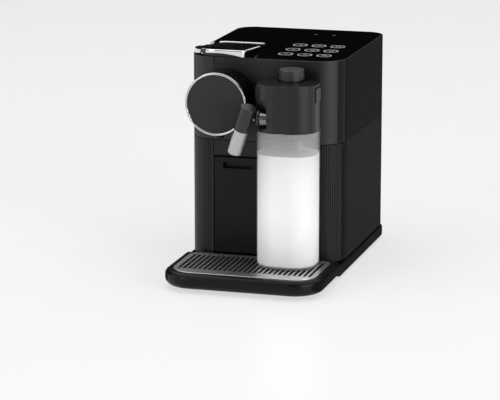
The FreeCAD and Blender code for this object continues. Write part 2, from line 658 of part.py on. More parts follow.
def lever_yoke():
    """Barrel on the shaft with two hanging cam plates, each slotted for a carriage pin."""
    pivot = Vector(0, size("pivot_y"), size("pivot_z"))
    left, right = size("-lever_left + 15.4"), size("-lever_right - 10.9")
    shape = Part.makeCylinder(size("barrel_radius"), right - left, pivot + RIGHT * left, RIGHT)
    reach = size("cam_radius")
    angles = [math.radians(angle) for angle in (-22, -35, -50, -65, -82)]
    rim = [Vector(0, reach * math.cos(angle), reach * math.sin(angle)) for angle in angles]
    sector = Part.makePolygon([Vector()] + rim + [Vector(0, -4, -4), Vector()])
    play = size("pin_radius + pin_play")
    shares = [-0.16 + 1.32 * step / 10 for step in range(11)]
    rail = [cam_path(share, play) for share in shares] + [cam_path(share, -play) for share in shares[::-1]]
    slot = Part.makePolygon(rail + rail[:1])
    for text in CAMS:
        plate, hole = sector.copy(), slot.copy()
        plate.translate(pivot + RIGHT * size(text))
        hole.translate(pivot + RIGHT * (size(text) - 0.5))
        shape = shape.fuse(Part.Face(plate).extrude(RIGHT * 3))
        shape = shape.cut(Part.Face(hole).extrude(RIGHT * 4))
    start = pivot + RIGHT * (left - 1)
    bore = Part.makeCylinder(size("shaft_radius + running_gap"), right - left + 2, start, RIGHT)
    made = doc.addObject("Part::Feature", "lever_yoke")
    made.Label = "lever_yoke"
    made.Shape = shape.cut(bore).removeSplitter()
    return made


keep(lever_yoke())

# Capsule carriage: cup, wings on the frame plates, arms back to the pins, coffee pipe
ARMS = ("drum_x - 22.5", "drum_x + 19.5")
cup_rear = "head_front - 0.6"
cup_front = "head_front - 0.6 - carriage_length"
cage = Piece("capsule_carriage")
cage.add("XZ", cup_front, cup_rear, lambda d: d.circle("drum_x", "brew_z", "head_radius + 0.5"))
cage.add("XZ", f"{cup_rear} - 6", cup_rear, lambda d: d.rectangle(
    "drum_x - plate_gap + 0.4", "drum_x + plate_gap - 0.4", "brew_z - 7", "brew_z + 7"))
for left in ARMS:
    cage.add("YZ", left, f"{left} + 3", lambda d: d.polygon([
        (f"{cup_rear} - 6", "brew_z"), (cup_rear, "brew_z"), (cup_rear, "pin_z - 4.5"),
        ("pin_y + 5", "pin_z - 4.5"), ("pin_y + 5", "pin_z + 4.5"), (f"{cup_rear} - 6", "pin_z + 4.5")]))
    cage.cut("YZ", f"{left} - 1", f"{left} + 4", lambda d: d.circle(
        "pin_y", "pin_z", "pin_radius + running_gap"))
cage.add("XZ", f"{cup_front} - 33", f"{cup_front} + 1", lambda d: d.circle("drum_x", "brew_z - 7", "4"))
cage.cut("XZ", f"{cup_front} + 3", f"{cup_rear} + 1", lambda d: d.circle("drum_x", "brew_z", "15.5"))
cage.cut("XZ", f"{cup_front} - 34", f"{cup_front} + 4", lambda d: d.circle("drum_x", "brew_z - 7", "2"))
keep(cage)

pierce = Piece("pierce_plate")
pierce.add("XZ", f"{cup_front} + 3.05", f"{cup_front} + 4.6", lambda d: d.circle("drum_x", "brew_z", "15.2"))
pierce.cut("XZ", f"{cup_front} + 2", f"{cup_front} + 6", lambda d: d.circle("drum_x - 8", "brew_z", "1"))
pierce.row("H_Axis", "4", "5")
keep(pierce)

keep(studs("carriage_pins", RIGHT, "pin_radius", "11.4", [
    ("drum_x - 22.4", "pin_y", "pin_z"), ("drum_x + 11", "pin_y", "pin_z")]))

# Brew frame: two plates, cross bars, with the injection head and the heater block between them
PLATES = ("drum_x - plate_gap - 3", "drum_x + plate_gap")
stand = Piece("brew_frame")
stand.add("XY", "seam_height + fit_gap", "seam_height + 7", lambda d: d.rectangle(
    "drum_x - plate_gap - 3", "drum_x + plate_gap + 3", "bin_rear + 1", "bin_rear + 8"))
for left in PLATES:
    stand.add("YZ", left, f"{left} + 3", lambda d: d.polygon([
        ("body_front + 8", "brew_z - 22"), ("bin_rear + 1", "brew_z - 22"),
        ("bin_rear + 1", "seam_height + fit_gap"), ("bin_rear + 8", "seam_height + fit_gap"),
        ("bin_rear + 24", "brew_z - 20"), ("bin_rear + 24", "brew_z + 22"),
        ("lever_rear - 10", "deck_top - deck_thick - 0.2"),
        ("body_front + 8", "deck_top - deck_thick - 0.2")]))
for rear in ("head_front + head_length - 2", "bin_rear + 20"):
    stand.add("XY", "brew_z - 22", "brew_z - head_radius - 0.2", lambda d: d.rectangle(
        "drum_x - plate_gap - 1", "drum_x + plate_gap + 1", f"{rear} - 16", rear))
keep(stand)

head = Piece("injection_head")
head.add("XZ", "head_front", "head_front + head_length", lambda d: d.circle(
    "drum_x", "brew_z", "head_radius"))
head.cut("XZ", "head_front - 1", "head_front + 3", lambda d: d.circle("drum_x", "brew_z", "15"))
head.cut("XZ", "head_front - 1", "head_front + head_length + 1", lambda d: d.circle("drum_x", "brew_z", "2"))
keep(head)

heater = Piece("heater_block")
heater.add("XZ", "head_front + head_length + fit_gap", "bin_rear + 22", lambda d: d.outline(
    "drum_x - plate_gap + 0.5", "drum_x + plate_gap - 0.5", "brew_z - head_radius", "brew_z + 14", "4"))
heater.cut("XY", "brew_z + 8", "brew_z + 15", lambda d: d.rectangle(
    "drum_x - plate_gap", "drum_x + plate_gap",
    "head_front + head_length + 6", "head_front + head_length + 9"))
heater.row("V_Axis", "6", "6")
heater.cut("XZ", "bin_rear + 16", "bin_rear + 23", lambda d: d.circle("drum_x", "brew_z", "3.2").circle(
    "drum_x - 12", "brew_z", "3.2"))
keep(heater)

# Outlet drum with ring, disc and nozzle
inside = "drum_radius - drum_wall"
drum = Piece("outlet_drum")
drum.turn([("drum_radius - 9", "-2.5"), ("drum_radius - 6.2", "-2.5"), ("drum_radius - 6.2", "0.05"),
           ("drum_radius", "0.05"), ("drum_radius", "drum_length"), (inside, "drum_length"),
           (inside, "2.2"), ("drum_radius - 9", "2.2")])
drum.cut("XZ", "-drum_radius - 1", "-drum_radius + 6", lambda d: d.circle(
    "0", "body_front - nozzle_y", "nozzle_radius + 0.2"))
drum.place("drum_x", "body_front", "drum_z", RIGHT, 90)
keep(drum)

ring = Piece("outlet_ring")
hub = "drum_radius - face_ring_width"
ring.turn([(hub, "drum_length + 0.1"), ("drum_radius + 0.5", "drum_length + 0.1"),
           ("drum_radius + 0.5", "drum_length + face_thick"), (hub, "drum_length + face_thick")])
ring.soften("1.1", lambda e: abs(spots(e)[0].z - size("drum_length + face_thick")) < 0.01)
ring.place("drum_x", "body_front", "drum_z", RIGHT, 90)
keep(ring)

disc = Piece("outlet_disc")
disc.turn([("0", "drum_length + 0.1"), (f"{hub} - 0.15", "drum_length + 0.1"),
           (f"{hub} - 0.15", "drum_length + face_thick - 0.8"), ("0", "drum_length + face_thick - 0.8")])
disc.soften("0.6", lambda e: abs(spots(e)[0].z - size("drum_length + face_thick - 0.8")) < 0.01)
disc.place("drum_x", "body_front", "drum_z", RIGHT, 90)
keep(disc)

outlet = Piece("coffee_outlet")
trough = "drum_z - sqrt((drum_radius - drum_wall) * (drum_radius - drum_wall) - 81) + 0.4"
outlet.add("XY", trough, f"{trough} + 9", lambda d: d.rectangle(
    "drum_x - 9", "drum_x + 9", "body_front - drum_length + 2", "body_front - 4"))
outlet.cut("XY", f"{trough} + 2", f"{trough} + 10", lambda d: d.rectangle(
    "drum_x - 7", "drum_x + 7", "body_front - drum_length + 4", "body_front - 6"))
outlet.add("XY", "drum_z - drum_radius - 5", f"{trough} + 1", lambda d: d.circle(
    "drum_x", "nozzle_y", "nozzle_radius"))
outlet.cut("XY", "drum_z - drum_radius - 6", f"{trough} + 4", lambda d: d.circle("drum_x", "nozzle_y", "2.5"))
keep(outlet)

nozzle = Piece("steam_nozzle")
nozzle.turn([("1.5", "-10"), ("3", "-10"), ("3", "-shell_wall - 4"), ("10", "-shell_wall - 4"),
             ("10", "-shell_wall - 0.3"), ("dock_radius + 2", "-shell_wall - 0.3"), ("dock_radius + 2", "0"),
             ("dock_radius", "0"), ("dock_radius", "dock_reach"), ("1.5", "dock_reach")])
nozzle.place("dock_x", "body_front", "dock_z", RIGHT, 90)
keep(nozzle)

# Capsule bin
bin_box = Piece("capsule_bin")
sides = ("-bin_left + 0.6", "-bin_right - 0.6")
bin_box.add("XY", "bin_low", "bin_top - 0.6", lambda d: d.rectangle(*sides, "body_front", "bin_rear"))
bin_box.soften("3", both(level("bin_top - 0.6"), level("body_front", "y")))
bin_box.cut("XY", "bin_low + bin_wall", "bin_top", lambda d: d.rectangle(
    "-bin_left + 0.6 + bin_wall", "-bin_right - 0.6 - bin_wall", "body_front + 10", "bin_rear - bin_wall"))
bin_box.cut("XY", "bin_top - 16", "bin_top - 8", lambda d: d.outline(
    "-bin_left + 12", "-bin_right - 12", "body_front - 5", "body_front + 7.5", "4"))
keep(bin_box)

# Water tank, cover, valve and socket
tank = Piece("water_tank")
tank_plan = ("-tank_half + 1", "tank_half - 1", "tank_front + 1", "body_rear - 0.2")
tank.add("XY", "tank_low", "tank_top", lambda d: d.outline(*tank_plan, "5"))
tank.soften("2", level("tank_low"))
tank.cut("XY", "tank_low + 2.6", "tank_top + 1", lambda d: d.outline(
    "-tank_half + 1 + tank_wall", "tank_half - 1 - tank_wall", "tank_front + 1 + tank_wall",
    "body_rear - 0.2 - tank_wall", "5 - tank_wall"))
tank.add("XY", "tank_top - 26", "tank_top - 21", lambda d: d.outline(
    "-36", "36", "body_rear - 1.5", "rear_y - 0.2", "1"))
tank.cut("XZ", "tank_front", "tank_front + 4", lambda d: d.circle("0", "valve_height", "5.1"))
keep(tank)

cover = Piece("tank_cover")
cover.add("XY", "tank_top + 0.1", "tank_top + 2.6", lambda d: d.outline(*tank_plan, "5"))
cover.add("XY", "tank_top - 4", "tank_top + 1", lambda d: d.outline(
    "-tank_half + 1.3 + tank_wall", "tank_half - 1.3 - tank_wall", "tank_front + 1.3 + tank_wall",
    "body_rear - 0.5 - tank_wall", "2"))
cover.cut("XY", "tank_top - 5", "tank_top + 0.5", lambda d: d.outline(
    "-tank_half + 4 + tank_wall", "tank_half - 4 - tank_wall", "tank_front + 4 + tank_wall",
    "body_rear - 3 - tank_wall", "1"))
cover.cut("XY", "tank_top - 1", "tank_top + 4", lambda d: d.circle(
    "0", "body_rear - tank_bay_depth / 2", "22"))
keep(cover)

valve = Piece("tank_valve")
valve.turn([("1.5", "-8"), ("8", "-8"), ("8", "-3.6"), ("5", "-3.6"), ("5", "-1.2"), ("4.6", "-1.2"),
            ("4.6", "8"), ("1.5", "8")])
valve.place("0", "tank_front", "valve_height", RIGHT, 90)
keep(valve)

socket = Piece("tank_socket")
socket.turn([("4.6 + 0.08", "-0.6"), ("6.8", "-0.6"), ("6.8", "3.3"), ("10", "3.3"), ("10", "6"),
             ("6.8", "6"), ("6.8", "9"), ("3", "12"), ("3", "14"), ("1.5", "14"), ("1.5", "10"),
             ("4.6 + 0.08", "9")])
socket.place("0", "tank_front", "valve_height", RIGHT, 90)
keep(socket)

# Milk jug and gasket
jug = Piece("milk_jug")
jug.add("XY", "jug_low", "jug_top", jug_outline)
jug.soften("3", level("jug_low"))
jug.cut("XY", "jug_low + 3", "jug_top + 1", lambda d: jug_outline(d, "jug_wall"))
keep(jug)

gasket = Piece("lid_gasket")
gasket.add("XY", "jug_top", "lid_low - fit_gap", lambda d: jug_outline(
    jug_outline(d, "0.4"), "jug_wall + 0.2"))
keep(gasket)

# Lid: shell, skirt, scoop with the swivel socket, steam slot, button holes, knob well
SWIVEL = ("swivel_y", "swivel_z")
lid = Piece("jug_lid")
lid.add("XY", "lid_low", "lid_top", jug_outline)
lid.soften("0.8", level("lid_top"))
lid.add("XY", "skirt_low", "lid_low + 1", lambda d: jug_outline(d, "skirt_inset"))
lid.cut("XY", "skirt_low - 1", "lid_low + 6", lambda d: jug_outline(d, "skirt_inset + 2.2"))
lid.cut("XY", "lid_low + 5", "lid_top - lid_wall - 1", lambda d: jug_outline(d, "lid_wall"))


def scoop(grow):
    """The hollow in the lid's front left corner, seen from the front."""
    return lambda d: d.outline(
        "jug_left - 8", f"socket_x + {grow}",
        f"swivel_z - scoop_low - {grow}", f"swivel_z + scoop_high + {grow}",
        ["2", f"2 + {grow}", f"8 + {grow}", "2"])


lid.add("XZ", "jug_front + 1", "scoop_back + scoop_wall", scoop("scoop_wall"))
lid.cut("XY", "lid_low", "lid_top - 2", lambda d: jug_outline(d.rectangle(
    "jug_left - 12", "jug_right + 2", "jug_front - 2", "jug_back + 2")))
lid.cut("XZ", "jug_front - 5", "scoop_back", scoop("0"))
lid.add("YZ", "socket_x + 0.5", "socket_x + 5", lambda d: d.circle(*SWIVEL, "ring_radius + 1"))
lid.cut("YZ", "socket_x - 1", "socket_x + 6", lambda d: d.circle(*SWIVEL, "journal_radius + running_gap"))
lid.cut("XY", "skirt_low - 1", "dock_z + dock_radius + 2", lambda d: d.rectangle(
    "dock_x - dock_radius - 1.5", "dock_x + dock_radius + 1.5", "jug_back - 9", "jug_back + 2"))
for low, high in (("jug_left - 2", "jug_left + 5"), ("jug_right - 5", "jug_right + 2")):
    lid.cut("YZ", low, high, lambda d: d.outline(
        "button_front", "button_rear", "button_low", "button_high", "3"))
    lid.cut("YZ", low, high, lambda d: d.outline(
        "button_front", "button_rear", "button_high - 4", "button_high + button_slit", "0.5"))
lid.cut("XY", "lid_top - 1.4", "lid_top + 1", lambda d: d.circle("knob_x", "knob_y", "knob_radius + 1"))
lid.cut("XY", "lid_top - 9", "lid_top", lambda d: d.circle("knob_x", "knob_y", "knob_stem + running_gap"))
keep(lid)

chamber = Piece("froth_chamber")
chamber.add("XY", "lid_low + 8", "lid_top - lid_wall - 1.3", lambda d: d.outline(
    "dock_x - 14", "dock_x + 22", "jug_back - dock_reach - 24", "jug_back - dock_reach - 1", "4"))
chamber.cut("XY", "lid_top - lid_wall - 14", "lid_top", lambda d: d.circle(
    "knob_x", "knob_y", "knob_stem + 0.4"))
chamber.cut("XY", "lid_low + 7", "lid_low + 20", lambda d: d.circle("dock_x + 16", "jug_back - 26", "3.1"))
keep(chamber)

seal = Piece("dock_seal")
seal.turn([("1.5", "dock_reach - 1 + 0.3"), ("5", "dock_reach - 1 + 0.3"), ("5", "dock_reach + 0.95"),
           ("1.5", "dock_reach + 0.95")])
seal.place("dock_x", "jug_back", "dock_z", RIGHT, 90)
keep(seal)

tube = Piece("pickup_tube")
tube.add("XY", "jug_low + 7", "lid_low + 18", lambda d: d.circle("dock_x + 16", "jug_back - 26", "3").circle(
    "dock_x + 16", "jug_back - 26", "2"))
keep(tube)

for label, side, wall in (("release_button_left", 1, "jug_left"), ("release_button_right", -1, "jug_right")):
    button = Piece(label)
    outer = f"{wall} - {side} * 0.6"
    step = f"{wall} + {side} * (lid_wall + 2.2)"
    inner_end = f"{wall} + {side} * 7"
    near, far = (outer, inner_end) if side > 0 else (inner_end, outer)
    button.add("YZ", near, far, lambda d: d.outline(
        "button_front + 0.35", "button_rear - 0.35", "button_low + 0.35", "button_high - 0.35", "2.7"))
    button.soften("0.7", level(outer, "x"))
    near, far = (step, inner_end) if side > 0 else (inner_end, step)
    button.add("YZ", near, far, lambda d: d.rectangle(
        "button_front - 1.2", "button_rear + 1.2", "button_low + 3", "button_high - 3"))
    keep(button)

knob = Piece("froth_knob")
knob.turn([("0", "-8"), ("knob_stem", "-8"), ("knob_stem", "0"), ("knob_radius - 3", "0"),
           ("knob_radius - 3", "knob_gap"), ("knob_radius", "knob_gap"), ("knob_radius", "knob_height"),
           ("0", "knob_height")])
knob.soften("1.3", lambda e: abs(spots(e)[0].z - size("knob_height")) < 0.01)
knob.place("knob_x", "knob_y", "lid_top - 1")
keep(knob)

# Swivel ring, link, and the two halves of the spout
swivel_ring = Piece("swivel_ring")
swivel_ring.turn([("journal_radius + 0.4", "-ring_length"), ("ring_radius", "-ring_length"),
                  ("ring_radius", "-0.1"), ("journal_radius + 0.4", "-0.1")])
swivel_ring.soften("0.8", lambda e: abs(spots(e)[0].z - size("-ring_length")) < 0.01)
swivel_ring.place("socket_x", *SWIVEL, BACK, 90)
keep(swivel_ring)

reach = "socket_x - spout_x - link_seat"
link = Piece("swivel_link")
link.turn([("0", f"-({reach})"), ("link_radius", f"-({reach})"), ("link_radius", f"-({reach}) + 7"),
           ("ring_radius - 0.6", "-ring_length - 3.4"), ("ring_radius + 1.4", "-ring_length - 3.2"),
           ("ring_radius + 1.4", "-ring_length - 0.4"), ("journal_radius", "-ring_length - 0.4"),
           ("journal_radius", "4.8"), ("0", "4.8")])
link.place("socket_x", *SWIVEL, BACK, 90)
keep(link)

lean = FreeCAD.Rotation(RIGHT, size("spout_swing")) * FreeCAD.Rotation(BACK, size("spout_lean"))
sleeve = Piece("spout_sleeve_blank")
sleeve.turn([("0", "spout_rise - 4"), ("spout_bore", "spout_rise - 4"), ("spout_bore", "-spout_drop"),
             ("spout_radius", "-spout_drop"), ("spout_top", "spout_rise"), ("0", "spout_rise")])
sleeve.soften("0.8", lambda e: abs(spots(e)[0].z - size("spout_rise")) < 0.01)
sleeve.place("spout_x", "spout_y", "swivel_z", lean.Axis, math.degrees(lean.Angle))
link_hole = doc.addObject("Part::Cylinder", "link_hole")
link_hole.Placement = FreeCAD.Placement(Vector(), FreeCAD.Rotation(UP, RIGHT))
link_hole.setExpression("Radius", bound("link_radius + 0.05"))
link_hole.setExpression("Height", bound("spout_radius + 8"))
for name, text in (("x", "spout_x + link_seat - 0.05"), ("y", "swivel_y"), ("z", "swivel_z")):
    link_hole.setExpression("Placement.Base." + name, bound(text))
keep(less_tool("spout_sleeve", sleeve.body, link_hole))

tip = Piece("spout_tip")
bottom = "-spout_drop - tip_length"
tip.turn([("spout_bore", "-spout_drop - 0.05"), ("spout_bore", bottom), ("spout_end", bottom),
          ("spout_radius - 0.2", "-spout_drop - 0.05")])
tip.soften("2", lambda e: abs(spots(e)[0].z - size(bottom)) < 0.01)
tip.place("spout_x", "spout_y", "swivel_z", lean.Axis, math.degrees(lean.Angle))
keep(tip)

# Pump on its bracket, flow meter, steam valve and control board
PUMP = ("48", "46")
pump = Piece("water_pump")
pump.turn([("0", "0"), ("4", "0"), ("4", "12"), ("12", "12"), ("12", "22"), ("18", "22"), ("18", "82"),
           ("9", "82"), ("9", "92"), ("4", "92"), ("4", "100"), ("0", "100")])
pump.place(PUMP[0], "tank_front - 36", PUMP[1], RIGHT, 90)
keep(pump)

SADDLES = ("tank_front - 66", "tank_front - 110")
for label, ring in (("pump_bracket", False), ("pump_rings", True)):
    made = []
    for near in SADDLES:
        part = Piece(f"{label}_part")
        if ring:
            part.add("XZ", near, f"{near} + 5", lambda d: d.circle(*PUMP, "21").circle(*PUMP, "18.05"))
        else:
            part.add("XZ", f"{near} + 0.5", f"{near} + 4.5", lambda d: d.outline(
                f"{PUMP[0]} - 25", f"{PUMP[0]} + 25", "base_floor + 0.1", f"{PUMP[1]} + 25",
                "4").circle(*PUMP, "21.05"))
        made.append(part.body)
    group = doc.addObject("Part::Compound", label)
    group.Links = made
    group.Label = label
    doc.recompute()
    keep(group)

meter = Piece("flow_meter")
meter.add("XY", "base_floor + 0.1", "valve_height + 5", lambda d: d.circle("0", "tank_front - 42", "13"))
meter.add("XZ", "tank_front - 42", "tank_front - 26", lambda d: d.circle("0", "valve_height", "3"))
meter.add("YZ", "0", "16", lambda d: d.circle("tank_front - 42", "valve_height", "3"))
meter.soften("1.5", level("valve_height + 5"))
keep(meter)

steam_valve = Piece("steam_valve")
steam_valve.add("XY", "base_floor + 0.1", "48", lambda d: d.outline(
    "58", "82", "body_front + 15", "body_front + 39", "3"))
steam_valve.add("XY", "47", "66", lambda d: d.circle("70", "body_front + 27", "9"))
keep(steam_valve)

board = Piece("control_board")
board.add("YZ", "body_half - 14", "body_half - 12.4", lambda d: d.rectangle(
    "body_front + 75", "body_front + 163", "72", "152"))
for y, z, reach_in in (("body_front + 91", "92", "18"), ("body_front + 125", "120", "12"),
                      ("body_front + 149", "88", "9")):
    board.add("YZ", f"body_half - 14 - {reach_in}", "body_half - 13", lambda d: d.rectangle(
        f"{y} - 9", f"{y} + 9", f"{z} - 8", f"{z} + 8"))
keep(board)
keep(studs("board_standoffs", RIGHT, "3", f"12.4 - frame_inset - frame_wall - 0.1", [
    ("body_half - 12.35", y, z) for y in ("body_front + 81", "body_front + 157") for z in ("78", "146")]))


def hose(label, stops, radius, bore, bend=9):
    """A hose of straight runs with round bends, hollow from end to end."""
    points = [Vector(*(size(text) for text in stop)) for stop in stops]
    edges, here = [], points[0]
    for before, corner, after in zip(points, points[1:], points[2:]):
        back, ahead = (before - corner).normalize(), (after - corner).normalize()
        half = back.getAngle(ahead) / 2
        trim = bend / math.tan(half)
        middle = corner + (back + ahead).normalize() * (bend / math.sin(half) - bend)
        edges.append(Part.LineSegment(here, corner + back * trim).toShape())
        edges.append(Part.Arc(corner + back * trim, middle, corner + ahead * trim).toShape())
        here = corner + ahead * trim
    edges.append(Part.LineSegment(here, points[-1]).toShape())
    path = Part.Wire(edges)
    pipes = []
    for reach_out in (radius, bore):
        ring = Part.Wire(Part.Circle(points[0], points[1] - points[0], reach_out).toShape())
        pipes.append(path.makePipeShell([ring], True, True))
    made = doc.addObject("Part::Feature", label)
    made.Label = label
    made.Shape = pipes[0].cut(pipes[1])
    return made


keep(hose("suction_hose", [
    ("0", "tank_front - 14.3", "valve_height"), ("0", "tank_front - 25.7", "valve_height")], 4, 2.2))
keep(hose("pump_hose", [
    ("16.3", "tank_front - 42", "valve_height"), ("24", "tank_front - 42", "valve_height"),
    (PUMP[0], "tank_front - 22", "valve_height + 4"),
    (PUMP[0], "tank_front - 18", PUMP[1]), (PUMP[0], "tank_front - 35.7", PUMP[1])], 3.4, 2, 5))
keep(hose("pressure_hose", [
    (PUMP[0], "tank_front - 136.3", PUMP[1]), (PUMP[0], "tank_front - 152", PUMP[1]),
    (PUMP[0], "tank_front - 152", "seam_height - 14"), ("20", "tank_front - 20", "brew_z - 16"),
    ("drum_x", "bin_rear + 44", "brew_z"), ("drum_x", "bin_rear + 22.3", "brew_z")], 3, 1.5))
keep(hose("steam_hose", [
    ("drum_x - 12", "bin_rear + 22.3", "brew_z"), ("drum_x - 12", "bin_rear + 56", "brew_z"),
    ("dock_x + 20", "bin_rear + 56", "dock_z + 14"), ("dock_x", "body_front + 40", "dock_z"),
    ("dock_x", "body_front + 10.3", "dock_z")], 3, 1.5))

# Every piece is checked, then written to its own file
doc.recompute()
for item in doc.Objects:
    if "Invalid" in item.State or "Error" in item.State:
        raise ValueError(item.Label + " did not build")
os.makedirs("parts", exist_ok=True)
for item in DONE:
    if item.Shape.isNull() or not item.Shape.isValid() or not item.Shape.Solids:
        raise ValueError(item.Label + " has no sound shape")
    item.Shape.exportStep(f"parts/{item.Label}.step")
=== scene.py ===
import json
import math

import bmesh
import bpy
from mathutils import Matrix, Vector

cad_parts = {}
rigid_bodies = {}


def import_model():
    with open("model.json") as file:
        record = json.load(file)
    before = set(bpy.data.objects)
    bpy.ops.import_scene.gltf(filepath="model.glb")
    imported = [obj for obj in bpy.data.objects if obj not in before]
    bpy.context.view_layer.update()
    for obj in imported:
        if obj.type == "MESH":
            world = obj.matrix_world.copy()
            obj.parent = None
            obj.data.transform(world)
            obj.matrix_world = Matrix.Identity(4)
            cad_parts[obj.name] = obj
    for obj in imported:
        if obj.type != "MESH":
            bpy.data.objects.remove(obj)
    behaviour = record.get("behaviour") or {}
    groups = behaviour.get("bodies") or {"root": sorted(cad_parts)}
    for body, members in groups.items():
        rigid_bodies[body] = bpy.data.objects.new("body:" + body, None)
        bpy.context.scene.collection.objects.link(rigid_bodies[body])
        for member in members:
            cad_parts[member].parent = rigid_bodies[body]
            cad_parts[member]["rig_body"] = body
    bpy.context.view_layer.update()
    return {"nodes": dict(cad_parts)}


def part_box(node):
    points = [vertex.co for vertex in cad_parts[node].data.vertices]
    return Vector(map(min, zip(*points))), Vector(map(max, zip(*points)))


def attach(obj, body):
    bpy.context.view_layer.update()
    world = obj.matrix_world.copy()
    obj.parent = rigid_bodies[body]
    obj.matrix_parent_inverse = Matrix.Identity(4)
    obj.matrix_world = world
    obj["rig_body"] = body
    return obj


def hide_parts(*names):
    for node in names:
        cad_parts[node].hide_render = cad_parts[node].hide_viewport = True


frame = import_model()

# Looks of a pod coffee machine with a clip-on milk jug.
# Lengths are in metres, with X to the right, Y to the back and Z up.
MM = 0.001


# Small helpers for node trees

def node(tree, kind, settings=None, **inputs):
    """A node with its settings, and its inputs set to values or linked to other sockets."""
    made = tree.nodes.new(kind)
    for name, value in (settings or {}).items():
        setattr(made, name, value)
    for name, value in inputs.items():
        feed(tree, made.inputs[name.replace("_", " ")], value)
    return made


def feed(tree, socket, value):
    """Links a socket into an input, or writes a plain value there."""
    if isinstance(value, bpy.types.NodeSocket):
        tree.links.new(value, socket)
    else:
        socket.default_value = value


def maths(tree, kind, *values):
    """A Math node's result."""
    made = node(tree, "ShaderNodeMath", {"operation": kind})
    for socket, value in zip(made.inputs, values):
        feed(tree, socket, value)
    return made.outputs[0]


def vector_maths(tree, kind, first, second):
    """The result of a Vector Math node that takes two vectors."""
    made = node(tree, "ShaderNodeVectorMath", {"operation": kind})
    feed(tree, made.inputs[0], first)
    feed(tree, made.inputs[1], second)
    return made.outputs[0]


def vector_of(tree, x=0.0, y=0.0, z=0.0):
    """A vector put together from its three parts."""
    return node(tree, "ShaderNodeCombineXYZ", X=x, Y=y, Z=z).outputs[0]


def joined(tree, *pieces):
    """Several pieces of geometry as one."""
    made = node(tree, "GeometryNodeJoinGeometry")
    for each in pieces:
        tree.links.new(each, made.inputs[0])
    return made.outputs[0]


def socket_tree(kind, name, inputs, outputs):
    """A node group with named sockets; returns the group, what comes in and what goes out."""
    tree = bpy.data.node_groups.new(name, kind)
    for direction, sockets in (("INPUT", inputs), ("OUTPUT", outputs)):
        for label, socket_type in sockets.items():
            tree.interface.new_socket(label, in_out=direction, socket_type="NodeSocket" + socket_type)
    return tree, tree.nodes.new("NodeGroupInput").outputs, tree.nodes.new("NodeGroupOutput").inputs


def srgb(red, green, blue):
    """A screen colour from 0 to 255 as the linear colour that shaders take."""
    levels = [level / 255 for level in (red, green, blue)]
    return tuple(v / 12.92 if v <= 0.04045 else ((v + 0.055) / 1.055) ** 2.4 for v in levels) + (1.0,)


# Effects that several finishes share

def noise(tree, place, scale, detail):
    """A noise pattern from 0 to 1, with its scale in repeats per metre."""
    return node(tree, "ShaderNodeTexNoise", Vector=place, Scale=scale, Detail=detail).outputs["Fac"]


def centred(tree, pattern):
    """A pattern from 0 to 1 spread out from -1 to 1."""
    return maths(tree, "MULTIPLY_ADD", pattern, 2.0, -1.0)


def tinted(tree, colour, shade):
    """A colour made lighter or darker by a factor."""
    scaled = node(tree, "ShaderNodeVectorMath", {"operation": "SCALE"}, Vector=colour, Scale=shade)
    return scaled.outputs[0]


def relief(tree, pattern, depth):
    """The normals of a surface with a pattern raised on it."""
    return node(tree, "ShaderNodeBump", Height=pattern, Distance=depth, Strength=1.0).outputs["Normal"]


def moulded_surface():
    """Moulded plastic: a slow drift of shade and gloss over the piece, and a fine eroded grain."""
    drift_scale = 16.0
    tree, given, result = socket_tree("ShaderNodeTree", "moulded_surface", {
        "Colour": "Color", "Shade Drift": "Float", "Roughness": "Float", "Gloss Drift": "Float",
        "Grain Scale": "Float", "Grain Depth": "Float",
    }, {"Colour": "Color", "Roughness": "Float", "Normal": "Vector"})
    place = node(tree, "ShaderNodeTexCoord").outputs["Object"]
    drift = centred(tree, noise(tree, place, drift_scale, detail=3.0))
    grain = noise(tree, place, given["Grain Scale"], detail=2.0)
    shade = maths(tree, "MULTIPLY_ADD", drift, given["Shade Drift"], 1.0)
    dullness = maths(tree, "MULTIPLY_ADD", drift, given["Gloss Drift"], given["Roughness"])
    feed(tree, result["Colour"], tinted(tree, given["Colour"], shade))
    feed(tree, result["Roughness"], dullness)
    feed(tree, result["Normal"], relief(tree, grain, given["Grain Depth"]))
    return tree


def worked_metal():
    """Metal with fine streaks, which a stretch lays along one direction, and smears that dull it."""
    streak_scale, smear_scale, contrast = 900.0, 35.0, 0.12
    tree, given, result = socket_tree("ShaderNodeTree", "worked_metal", {
        "Colour": "Color", "Roughness": "Float", "Smear": "Float", "Stretch": "Vector",
        "Streak Depth": "Float",
    }, {"Colour": "Color", "Roughness": "Float", "Normal": "Vector"})
    place = node(tree, "ShaderNodeTexCoord").outputs["Object"]
    streak = noise(tree, vector_maths(tree, "MULTIPLY", place, given["Stretch"]), streak_scale, detail=4.0)
    smear = centred(tree, noise(tree, place, smear_scale, detail=3.0))
    shade = maths(tree, "MULTIPLY_ADD", streak, contrast, 1.0 - contrast / 2)
    dullness = maths(tree, "MULTIPLY_ADD", smear, given["Smear"], given["Roughness"])
    feed(tree, result["Colour"], tinted(tree, given["Colour"], shade))
    feed(tree, result["Roughness"], dullness)
    feed(tree, result["Normal"], relief(tree, streak, given["Streak Depth"]))
    return tree


